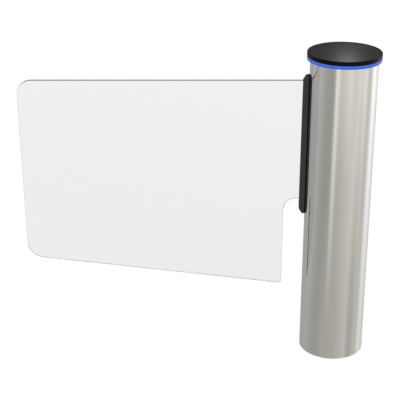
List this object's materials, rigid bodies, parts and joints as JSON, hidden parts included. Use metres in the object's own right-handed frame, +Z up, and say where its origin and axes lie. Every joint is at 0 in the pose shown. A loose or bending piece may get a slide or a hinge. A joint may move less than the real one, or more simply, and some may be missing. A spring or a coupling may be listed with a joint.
{
  "type": "half-height wing turnstile",
  "caption": "Half-height wing turnstile: a round steel post with a light ring and cap, turning about its own axis with one clear glass wing held in a slim tall clamp down its side.",
  "frame": {"origin": "centre of the underside of the base plate, on the post's axis", "axes": "+Z up along the post's axis; the wing points along -X at rest; Y is across the glass"},
  "size_m": [1.0907, 0.2232, 0.993],
  "materials": {
    "post_steel": "finely ground and polished stainless steel",
    "black_paint": "satin black powder coat",
    "black_rubber": "matt black rubber",
    "light_blue": "frosted light guide, lit blue",
    "wing_glass": "clear toughened glass with ground edges",
    "core_steel": "zinc-grey primer on welded steel",
    "cast_alloy": "turned cast aluminium",
    "motor_paint": "dark grey paint",
    "bearing_steel": "ground bearing steel",
    "bush_plastic": "natural acetal"
  },
  "bodies": {
    "core": {"base_plate": "core_steel", "base_gussets": "core_steel", "core_column": "core_steel", "guide_collar": "core_steel", "guide_bush": "bush_plastic", "drive_flange": "core_steel", "gearbox": "cast_alloy", "motor": "motor_paint", "bearing_housing": "cast_alloy", "spindle_bearings": "bearing_steel"},
    "wing": {"spindle": "bearing_steel", "hub": "cast_alloy", "head_plate": "core_steel", "sleeve": "post_steel", "lower_ring": "core_steel", "cap_spacers": "cast_alloy", "light_carrier": "black_paint", "light_ring": "light_blue", "cap": "black_paint", "backing_bar": "core_steel", "clamp_channel": "black_paint", "glass_liner": "black_rubber", "glass_wing": "wing_glass"}
  },
  "joints": [
    {"name": "wing_swing", "type": "hinge", "parent": "core", "child": "wing", "pos_m": [0, 0, 0.5], "axis": [0, 0, 1], "range_deg": [-90, 90]}
  ]
}
